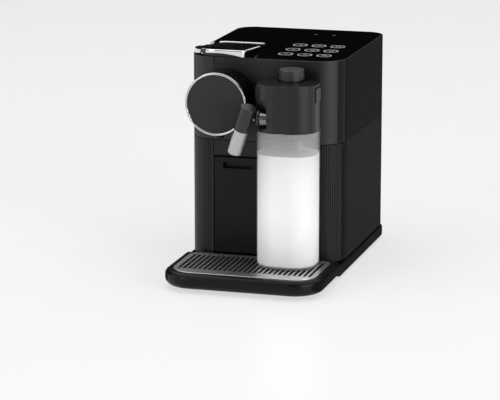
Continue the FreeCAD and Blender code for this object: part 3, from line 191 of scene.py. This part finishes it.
def flow_marks():
    """The slight waves that a clear moulding keeps, and the haze that washing leaves on it."""
    wave_scale, haze_scale, tint_drift = 24.0, 60.0, 0.01
    tree, given, result = socket_tree("ShaderNodeTree", "flow_marks", {
        "Colour": "Color", "Roughness": "Float", "Haze": "Float", "Cover": "Float", "Cloud": "Float",
        "Wave Depth": "Float",
    }, {"Colour": "Color", "Roughness": "Float", "Alpha": "Float", "Normal": "Vector"})
    place = node(tree, "ShaderNodeTexCoord").outputs["Object"]
    wave = noise(tree, place, wave_scale, detail=1.0)
    haze = noise(tree, place, haze_scale, detail=4.0)
    drift = centred(tree, haze)
    shade = maths(tree, "MULTIPLY_ADD", drift, tint_drift, 1.0)
    dullness = maths(tree, "MULTIPLY_ADD", haze, given["Haze"], given["Roughness"])
    feed(tree, result["Colour"], tinted(tree, given["Colour"], shade))
    feed(tree, result["Roughness"], dullness)
    feed(tree, result["Alpha"], maths(tree, "MULTIPLY_ADD", drift, given["Cloud"], given["Cover"]))
    feed(tree, result["Normal"], relief(tree, wave, given["Wave Depth"]))
    return tree


MOULDED = moulded_surface()
METAL = worked_metal()
CLEAR = flow_marks()


# Finishes

def finish_of(name, group, effect, shader):
    """A material whose shader takes what varies from a group, and the rest as plain values."""
    made = bpy.data.materials.new(name)
    made.use_nodes = True
    tree = made.node_tree
    principled = tree.nodes["Principled BSDF"]
    for label, value in shader.items():
        principled.inputs[label.replace("_", " ")].default_value = value
    placed = node(tree, "ShaderNodeGroup", {"node_tree": group})
    for label, value in effect.items():
        placed.inputs[label].default_value = value
    for output in placed.outputs:
        label = "Base Color" if output.name == "Colour" else output.name
        tree.links.new(output, principled.inputs[label])
    return made


def plastic(name, colour, roughness, grain=2200.0, depth=0.00002, drift=0.08, gloss_drift=0.05, **shader):
    """A moulded plastic, with its grain's scale and depth and the drift of its shade and gloss."""
    effect = {"Colour": colour, "Shade Drift": drift, "Roughness": roughness, "Gloss Drift": gloss_drift,
              "Grain Scale": grain, "Grain Depth": depth}
    return finish_of(name, MOULDED, effect, shader)


def metal(name, colour, roughness, smear=0.04, stretch=(1, 1, 1), depth=0.000002):
    """A worked metal, with the strength of its smears and the stretch and depth of its streaks."""
    effect = {"Colour": colour, "Roughness": roughness, "Smear": smear, "Stretch": stretch,
              "Streak Depth": depth}
    return finish_of(name, METAL, effect, {"Metallic": 1.0})


def clear(name, colour, roughness, cover, cloud):
    """A clear moulding that covers what is behind it by a share, and is cloudier in places."""
    effect = {"Colour": colour, "Roughness": roughness, "Haze": 0.05, "Cover": cover, "Cloud": cloud,
              "Wave Depth": 0.00008}
    return finish_of(name, CLEAR, effect, {})


FINISHES = {
    "gloss_black": plastic("gloss_black_panel", srgb(3, 3, 4), 0.06, depth=0.000001, gloss_drift=0.02,
                           Specular_IOR_Level=0.12),
    "drum_black": plastic("gloss_black_drum", srgb(5, 5, 6), 0.2, depth=0.000002, gloss_drift=0.03,
                          Specular_IOR_Level=0.3),
    "anthracite": plastic("satin_anthracite", srgb(16, 16, 17), 0.42, depth=0.000008,
                          Specular_IOR_Level=0.42),
    # Painted shade: copies of the satin anthracite for faces that turn sideways. The side copy, which the
    # ribbed panels, the tray and the base also take, loses nearly all its gloss so that sides read darker
    # than fronts. The corner copy lies halfway between the front's finish and the side copy.
    "half_shaded_corner": plastic("half_shaded_anthracite_corner", srgb(18, 18, 19), 0.48, depth=0.00001,
                           Specular_IOR_Level=0.12),
    "shaded_side": plastic("shaded_anthracite_side", srgb(22, 22, 23), 0.6, depth=0.00001,
                         Specular_IOR_Level=0.01),
    "lid": plastic("satin_lid", srgb(14, 14, 15), 0.34, depth=0.000006, Specular_IOR_Level=0.4),
    # Painted shade: a darker, less glossy copy of the lid's finish for its top face.
    "lid_top": plastic("dark_lid_top", srgb(9, 9, 10), 0.3, depth=0.000006, Specular_IOR_Level=0.2),
    "knob": plastic("satin_knob", srgb(52, 52, 54), 0.4, depth=0.000008, Specular_IOR_Level=0.4),
    "disc": plastic("satin_disc", srgb(50, 50, 51), 0.3, depth=0.000006, Specular_IOR_Level=0.1),
    "ribs": plastic("ribbed_black", srgb(14, 14, 15), 0.38, depth=0.000008, Specular_IOR_Level=0.3),
    "base": plastic("matt_black", srgb(6, 6, 7), 0.36, grain=1600.0, Specular_IOR_Level=0.2),
    "sleeve": plastic("satin_sleeve", srgb(22, 22, 23), 0.28, depth=0.000006, Specular_IOR_Level=0.5),
    # Dark plastic for the swivel link's flange; the same finish is painted shade on the sleeve's top and
    # on the lever's underside and set-back front faces.
    "dark_flange_and_shade": plastic("dark_flange_and_shade", srgb(12, 12, 13), 0.35, depth=0.000006),
    "chrome": metal("polished_chrome", srgb(222, 223, 225), 0.06, smear=0.02),
    "ring_chrome": metal("ring_chrome", srgb(196, 197, 199), 0.2, smear=0.02),
    "dark_chrome": metal("dark_chrome", srgb(176, 177, 179), 0.08, smear=0.03),
    "satin_chrome": metal("satin_chrome", srgb(118, 119, 121), 0.22),
    "steel": metal("stainless_grid", srgb(214, 214, 216), 0.36, stretch=(0.08, 1.0, 1.0), depth=0.000006),
    "clear": clear("clear_jug", srgb(238, 240, 242), 0.14, cover=0.17, cloud=0.006),
    "smoke": clear("smoke_tank", srgb(60, 61, 64), 0.08, cover=0.6, cloud=0.04),
    "rubber": plastic("black_rubber", srgb(20, 20, 20), 0.75, grain=1200.0, depth=0.00003),
    "hose": plastic("silicone_hose", srgb(205, 204, 198), 0.45, depth=0.00001),
    "inner": plastic("grey_inner_plastic", srgb(150, 152, 154), 0.5),
    "cast": metal("cast_aluminium", srgb(188, 188, 190), 0.45, smear=0.1, depth=0.00003),
    "plain_steel": metal("plain_steel", srgb(178, 178, 180), 0.3, smear=0.08),
    "board": plastic("green_board", srgb(28, 88, 52), 0.35, grain=900.0, depth=0.00001),
    "milk": plastic("milk", srgb(249, 249, 247), 0.4, grain=300.0, depth=0.00001, drift=0.006,
                    Subsurface_Weight=0.25, Subsurface_Scale=0.01),
    "print": plastic("white_print", srgb(214, 216, 218), 0.5, depth=0.000004, drift=0.03),
    "faint_print": plastic("grey_print", srgb(64, 65, 67), 0.5, depth=0.000004, drift=0.05),
}

# Construction pieces that show, by finish; each is stood for by a copy that shades its rounds smoothly.
SHOWN_PIECES = {
    "gloss_black": ["top_panel", "lever_inlay"],
    "drum_black": ["outlet_drum", "coffee_outlet"],
    "anthracite": ["upper_housing"],
    "lid": ["jug_lid", "release_button_left", "release_button_right"],
    "knob": ["froth_knob"],
    "disc": ["outlet_disc"],
    "ribs": ["lower_housing", "ribbed_panel_left", "ribbed_panel_right", "front_fascia"],
    "base": ["base_plate", "drip_tray", "capsule_bin", "capsule_chute", "tank_cover"],
    "sleeve": ["spout_sleeve"],
    "chrome": ["lever_frame"],
    "ring_chrome": ["outlet_ring"],
    "dark_chrome": ["spout_tip"],
    "satin_chrome": ["swivel_ring", "swivel_link"],
    "steel": ["drip_grid"],
    "clear": ["milk_jug", "pickup_tube"],
    "smoke": ["water_tank"],
    "rubber": ["rubber_feet", "cord_gland", "lid_gasket", "dock_seal"],
    "inner": ["froth_chamber", "lever_yoke", "capsule_carriage"],
    "plain_steel": ["base_screws", "steam_nozzle", "lever_shaft"],
}

# Pieces inside the housing, which keep their construction meshes.
INNER_PIECES = {
    "rubber": ["pump_rings"],
    "hose": ["suction_hose", "pump_hose", "pressure_hose", "steam_hose"],
    "inner": ["brew_frame", "injection_head", "pump_bracket", "flow_meter", "steam_valve",
              "board_standoffs", "tank_socket", "tank_valve"],
    "cast": ["heater_block"],
    "plain_steel": ["water_pump", "pierce_plate", "carriage_pins"],
    "board": ["touch_board", "control_board"],
}


# Faces of a piece with a finish of their own, told by the face's middle in millimetres and where it
# faces, as a vector of length 1

def sideways(limit):
    """Faces that turn to the left or the right by more than a limit, which is under 1."""
    return lambda middle, facing: abs(facing.x) > limit


def upwards(limit):
    """Faces that turn up by more than a limit, which is under 1."""
    return lambda middle, facing: facing.z > limit


def link_band(middle, facing):
    """A dark band across the swivel link."""
    band_left, band_right = 10.1, 13.2
    return band_left < middle.x < band_right


def lever_underside(middle, facing):
    """The lever's faces that turn down, which are given dark plastic as painted shade under the lever."""
    return facing.z < -0.3


def lever_inner_front(middle, facing):
    """The lever's faces that turn to the front but lie behind its front edge, which are given dark plastic
    as painted shade.
    """
    front_limit, left_limit = -66.5, -82
    return facing.y < -0.5 and middle.y > front_limit and middle.x > left_limit


# Apart from the swivel link's dark flange, these faces carry painted shade: shaded copies on sides, corner
# rounds and tops, and dark plastic under the chrome lever and on its set-back front faces.
ACCENTS = {
    "swivel_link": [("dark_flange_and_shade", link_band)],
    "spout_sleeve": [("dark_flange_and_shade", upwards(0.8))],
    "upper_housing": [("shaded_side", sideways(0.96)), ("half_shaded_corner", sideways(0.8))],
    "lower_housing": [("shaded_side", sideways(0.96))],
    "ribbed_panel_left": [("shaded_side", sideways(0.9))],
    "ribbed_panel_right": [("shaded_side", sideways(0.9))],
    "jug_lid": [("lid_top", upwards(0.9))],
    "drip_tray": [("shaded_side", sideways(0.75))],
    "base_plate": [("shaded_side", sideways(0.9))],
    "lever_frame": [("dark_flange_and_shade", lever_underside), ("dark_flange_and_shade", lever_inner_front)],
}


# Meshes

def piece(name, mesh, body, finishes=()):
    """An object that rides on a body, with the given finishes as its materials."""
    made = bpy.data.objects.new(name, mesh)
    bpy.context.scene.collection.objects.link(made)
    for finish in finishes:
        mesh.materials.append(FINISHES[finish])
    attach(made, body)
    return made


def finished_mesh(made):
    """The plain mesh of an object with its modifiers worked in and taken off."""
    mesh = bpy.data.meshes.new_from_object(made.evaluated_get(bpy.context.evaluated_depsgraph_get()))
    made.modifiers.clear()
    return mesh


def smooth_copy(name, finish):
    """A merged copy of a construction piece: flat faces stay flat and rounds shade as rounds."""
    merge, sharp = 0.002 * MM, math.radians(32)
    source = frame["nodes"][name]
    shape = bmesh.new()
    shape.from_mesh(source.data)
    bmesh.ops.remove_doubles(shape, verts=shape.verts, dist=merge)
    accents = ACCENTS.get(name, [])
    for face in shape.faces:
        face.smooth = True
        middle = face.calc_center_median() / MM
        face.material_index = next((place for place, (_, belongs) in enumerate(accents, 1)
                                    if belongs(middle, face.normal)), 0)
    mesh = bpy.data.meshes.new(name + "_merged")
    shape.to_mesh(mesh)
    shape.free()
    for stale in ("custom_normal", "sharp_edge", "sharp_face"):
        if stale in mesh.attributes:
            mesh.attributes.remove(mesh.attributes[stale])
    mesh.set_sharp_from_angle(angle=sharp)
    for part_finish in [finish] + [accent for accent, _ in accents]:
        mesh.materials.append(FINISHES[part_finish])
    draft = bpy.data.objects.new(name + "_draft", mesh)
    bpy.context.scene.collection.objects.link(draft)
    draft.modifiers.new("even_normals", "WEIGHTED_NORMAL").keep_sharp = True
    finished = finished_mesh(draft)
    bpy.data.objects.remove(draft)
    made = piece(name + "_surface", finished, source["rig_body"])
    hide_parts(name)


def finish_pieces():
    """Gives every construction piece its finish."""
    for finish, names in INNER_PIECES.items():
        for name in names:
            for slot in frame["nodes"][name].material_slots:
                slot.material = FINISHES[finish]
    for finish, names in SHOWN_PIECES.items():
        for name in names:
            smooth_copy(name, finish)


def skinned_mesh(name, loops):
    """A closed mesh through loops of points, with a flat cap at each end."""
    shape = bmesh.new()
    rings = [[shape.verts.new(point) for point in loop] for loop in loops]
    for near, far in zip(rings, rings[1:]):
        for index in range(len(near)):
            after = (index + 1) % len(near)
            shape.faces.new((near[index], near[after], far[after], far[index])).smooth = True
    shape.faces.new(rings[0][::-1])
    shape.faces.new(rings[-1])
    bmesh.ops.recalc_face_normals(shape, faces=shape.faces)
    mesh = bpy.data.meshes.new(name)
    shape.to_mesh(mesh)
    shape.free()
    return mesh


def lever_bead():
    """A round chrome edge up the lever's left side, round its back and down its right side."""
    low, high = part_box("lever_frame")
    panel_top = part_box("top_panel")[1].z
    left, right = low.x + 6.6 * MM, high.x - 1.6 * MM
    front, back = low.y + 3 * MM, high.y - 1.4 * MM
    left_start = front + 62 * MM
    corner, radius = 12.5 * MM, 1.05 * MM
    sink, below_top, rear_rise = 0.35 * MM, 0.03 * MM, 0.2 * MM
    sides, steps = 12, 14
    up = Vector((0, 0, 1))

    path = [Vector((left, left_start)), Vector((left, back - corner))]
    for centre_x, start in ((left + corner, 180), (right - corner, 90)):
        centre = Vector((centre_x, back - corner))
        for step in range(1, steps + 1):
            angle = math.radians(start - 90 * step / steps)
            path.append(centre + corner * Vector((math.cos(angle), math.sin(angle))))
    path.append(Vector((right, front)))

    fall = (high.z - panel_top - rear_rise) / (high.y - low.y)
    turns = [2 * math.pi * side / sides for side in range(sides)]
    loops = []
    for index, place in enumerate(path):
        ahead = (path[min(index + 1, len(path) - 1)] - path[max(index - 1, 0)]).normalized()
        across = Vector((ahead.y, -ahead.x, 0))
        height = high.z - max(fall * (place.y - low.y) + sink, radius + below_top)
        middle = Vector((place.x, place.y, height))
        loops.append([middle + radius * (across * math.cos(turn) + up * math.sin(turn))
                      for turn in turns])
    piece("lever_bead", skinned_mesh("lever_bead", loops), "lever", ["chrome"])


def rounded_rectangle(low, high, radius, steps=12):
    """The points of a rectangle with round corners, counter-clockwise."""
    points = []
    corners = ((high.x, high.y), (low.x, high.y), (low.x, low.y), (high.x, low.y))
    for turn, (x, y) in enumerate(corners):
        centre_x = x + (radius if x == low.x else -radius)
        centre_y = y + (radius if y == low.y else -radius)
        for step in range(steps + 1):
            angle = math.radians(90 * (turn + step / steps))
            points.append((centre_x + radius * math.cos(angle), centre_y + radius * math.sin(angle)))
    return points


def milk():
    """Milk in the jug, up to the level in the photograph, with a slight rise along the wall.

    It reaches into the clear wall, because seen through the wall the milk looks as wide as the jug.
    """
    low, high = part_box("milk_jug")
    from_outside, jug_corner = 0.9 * MM, 29 * MM
    bottom, level, rise = low.z + 2.4 * MM, 167 * MM, 0.7 * MM
    # How far the milk's side steps in, and at which height, from the bottom up
    profile = [(3.0 * MM, bottom), (1.0 * MM, bottom + 0.6 * MM), (0, bottom + 2.5 * MM), (0, level),
               (0.5 * MM, level - 0.35 * rise), (1.6 * MM, level - 0.8 * rise), (4 * MM, level - rise)]
    loops = []
    for step_in, z in profile:
        inset = from_outside + step_in
        edge = Vector((inset, inset))
        outline = rounded_rectangle(low.xy + edge, high.xy - edge, jug_corner - inset)
        loops.append([(x, y, z) for x, y in outline])
    piece("milk", skinned_mesh("milk", loops), "jug", ["milk"])


# Print on the top panel

def stroke_along(tree, curve, width, height):
    """A thin printed line that follows a curve."""
    profile = node(tree, "GeometryNodeCurvePrimitiveQuadrilateral", Width=width, Height=height)
    return node(tree, "GeometryNodeCurveToMesh", Curve=curve, Profile_Curve=profile.outputs[0]).outputs[0]


def cup_outline(tree, size):
    """A small cup with a handle, drawn at a height of 1 and then brought to its size."""
    cup = node(tree, "GeometryNodeCurvePrimitiveQuadrilateral", {"mode": "TRAPEZOID"}, Height=1.0,
               Bottom_Width=0.8, Top_Width=1.2, Offset=0.0)
    handle = node(tree, "GeometryNodeCurveArc", Resolution=10, Radius=0.26, Start_Angle=math.radians(-80),
                  Sweep_Angle=math.radians(160))
    beside = node(tree, "GeometryNodeTransform", Geometry=handle.outputs["Curve"],
                  Translation=(0.56, 0.05, 0.0))
    outline = joined(tree, cup.outputs["Curve"], beside.outputs[0])
    return node(tree, "GeometryNodeTransform", Geometry=outline,
                Scale=vector_of(tree, size, size, 1.0)).outputs[0]


def touch_print_tree():
    """A field of printed rings on a panel, each with a cup that grows from column to column."""
    first_cup, cup_growth, cup_stroke = 0.78, 0.22, 0.6
    tree, given, result = socket_tree("GeometryNodeTree", "touch_print", {
        "Columns": "Int", "Rows": "Int", "Pitch X": "Float", "Pitch Y": "Float", "Ring Radius": "Float",
        "Stroke": "Float", "Film": "Float", "Cup Size": "Float", "Place": "Vector", "Finish": "Material",
    }, {"Geometry": "Geometry"})
    width = maths(tree, "MULTIPLY", given["Pitch X"], maths(tree, "SUBTRACT", given["Columns"], 1.0))
    depth = maths(tree, "MULTIPLY", given["Pitch Y"], maths(tree, "SUBTRACT", given["Rows"], 1.0))
    field = node(tree, "GeometryNodeMeshGrid", Size_X=width, Size_Y=depth, Vertices_X=given["Columns"],
                 Vertices_Y=given["Rows"]).outputs["Mesh"]

    circle = node(tree, "GeometryNodeCurvePrimitiveCircle", Resolution=48, Radius=given["Ring Radius"])
    ring = stroke_along(tree, circle.outputs["Curve"], given["Stroke"], given["Film"])
    rings = node(tree, "GeometryNodeInstanceOnPoints", Points=field, Instance=ring)

    thin = maths(tree, "MULTIPLY", given["Stroke"], cup_stroke)
    cup = stroke_along(tree, cup_outline(tree, given["Cup Size"]), thin, given["Film"])
    order = node(tree, "GeometryNodeInputIndex").outputs[0]
    column = maths(tree, "FLOOR", maths(tree, "DIVIDE", order, given["Rows"]))
    growth = maths(tree, "MULTIPLY_ADD", column, cup_growth, first_cup)
    cups = node(tree, "GeometryNodeInstanceOnPoints", Points=field, Instance=cup,
                Scale=vector_of(tree, growth, growth, 1.0))

    half_film = vector_of(tree, z=maths(tree, "MULTIPLY", given["Film"], 0.5))
    placed = node(tree, "GeometryNodeTransform", Geometry=joined(tree, rings.outputs[0], cups.outputs[0]),
                  Translation=vector_maths(tree, "ADD", given["Place"], half_film))
    real = node(tree, "GeometryNodeRealizeInstances", Geometry=placed.outputs[0])
    coated = node(tree, "GeometryNodeSetMaterial", Geometry=real.outputs[0], Material=given["Finish"])
    feed(tree, result["Geometry"], coated.outputs[0])
    return tree


def grown_mesh(name, tree, values):
    """The plain mesh that a Geometry Nodes tree makes from its named sizes."""
    draft = bpy.data.objects.new(name, bpy.data.meshes.new(name + "_start"))
    bpy.context.scene.collection.objects.link(draft)
    modifier = draft.modifiers.new(name, "NODES")
    modifier.node_group = tree
    for item in tree.interface.items_tree:
        if item.in_out == "INPUT" and item.name in values:
            modifier[item.identifier] = values[item.name]
    mesh = finished_mesh(draft)
    bpy.data.objects.remove(draft)
    return mesh


def panel_print():
    """Nine touch rings and two faint lamps on the top panel."""
    tree = touch_print_tree()
    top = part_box("top_panel")[1].z
    rings = {"Columns": 3, "Rows": 3, "Pitch X": 24.8 * MM, "Pitch Y": 35.4 * MM, "Ring Radius": 8.8 * MM,
             "Stroke": 1.15 * MM, "Film": 0.05 * MM, "Cup Size": 3.4 * MM,
             "Place": (41.3 * MM, 15.7 * MM, top), "Finish": FINISHES["print"]}
    lamps = {**rings, "Columns": 2, "Rows": 1, "Pitch X": 23.9 * MM, "Ring Radius": 1.5 * MM,
             "Stroke": 2.2 * MM, "Cup Size": 0.2 * MM, "Place": (26.9 * MM, 137.8 * MM, top),
             "Finish": FINISHES["faint_print"]}
    piece("touch_rings", grown_mesh("touch_rings", tree, rings), "chassis")
    piece("panel_lamps", grown_mesh("panel_lamps", tree, lamps), "chassis")


# Camera, floor and light

def camera():
    """The photograph's viewpoint, found by fitting the machine's edges to the picture."""
    looks_down, turned = math.radians(13.006), math.radians(16.157)
    lens = bpy.data.cameras.new("camera")
    lens.sensor_width, lens.lens, lens.clip_end = 36, 178.367, 200
    made = bpy.data.objects.new("camera", lens)
    made.location = (0.826958, -2.977884, 0.795371)
    made.rotation_euler = (math.pi / 2 - looks_down, 0, turned)
    bpy.context.scene.collection.objects.link(made)
    bpy.context.scene.camera = made


def softbox(name, place, target, width, height, power):
    """A rectangular soft light turned to a point."""
    light = bpy.data.lights.new(name, "AREA")
    light.shape, light.size, light.size_y, light.energy = "RECTANGLE", width, height, power
    made = bpy.data.objects.new(name, light)
    made.location = place
    made.rotation_euler = (Vector(target) - Vector(place)).to_track_quat("-Z", "Y").to_euler()
    bpy.context.scene.collection.objects.link(made)


def floor():
    """A wide pale floor that keeps the shadow, near white to the lens, shiny pieces and clear pieces."""
    half, glow_share = 16.0, 0.6
    mesh = bpy.data.meshes.new("floor")
    corners = [(-half, -half, 0), (half, -half, 0), (half, half, 0), (-half, half, 0)]
    mesh.from_pydata(corners, [], [(0, 1, 2, 3)])
    finish = plastic("pale_floor", srgb(243, 243, 243), 0.3, grain=400.0, depth=0.000002, drift=0.004,
                     Specular_IOR_Level=0.3)
    tree = finish.node_tree
    path = node(tree, "ShaderNodeLightPath").outputs
    seen = maths(tree, "MAXIMUM", path["Is Camera Ray"], path["Is Glossy Ray"])
    seen = maths(tree, "MAXIMUM", seen, path["Is Transmission Ray"])
    glow = node(tree, "ShaderNodeEmission", Color=(1, 1, 1, 1), Strength=1.0)
    both = node(tree, "ShaderNodeMixShader")
    feed(tree, both.inputs[0], maths(tree, "MULTIPLY", seen, glow_share))
    feed(tree, both.inputs[1], tree.nodes["Principled BSDF"].outputs[0])
    feed(tree, both.inputs[2], glow.outputs[0])
    feed(tree, tree.nodes["Material Output"].inputs["Surface"], both.outputs[0])
    mesh.materials.append(finish)
    made = bpy.data.objects.new("floor", mesh)
    bpy.context.scene.collection.objects.link(made)


def studio():
    """The camera, the floor, five soft lights and a nearly dark world."""
    machine = (0, 0, 0.15)
    camera()
    floor()
    softbox("overhead", (0, 1.0, 3.2), (0, 1.0, 0), width=6.0, height=6.0, power=190)
    softbox("front_left", (-1.7, -2.6, 1.2), machine, width=1.2, height=1.6, power=28)
    softbox("front_right", (2.6, -2.0, 1.0), machine, width=1.1, height=1.6, power=40)
    softbox("right_strip", (2.7, -0.8, 0.8), machine, width=0.3, height=1.5, power=16)
    softbox("left_strip", (-2.6, -0.7, 0.9), machine, width=0.25, height=1.5, power=12)
    world = bpy.data.worlds.new("studio")
    bpy.context.scene.world = world
    world.use_nodes = True
    background = world.node_tree.nodes["Background"].inputs
    background["Color"].default_value = (1, 1, 1, 1)
    background["Strength"].default_value = 0.006
    bpy.context.scene.view_settings.view_transform = "Standard"


finish_pieces()
lever_bead()
milk()
panel_print()
studio()
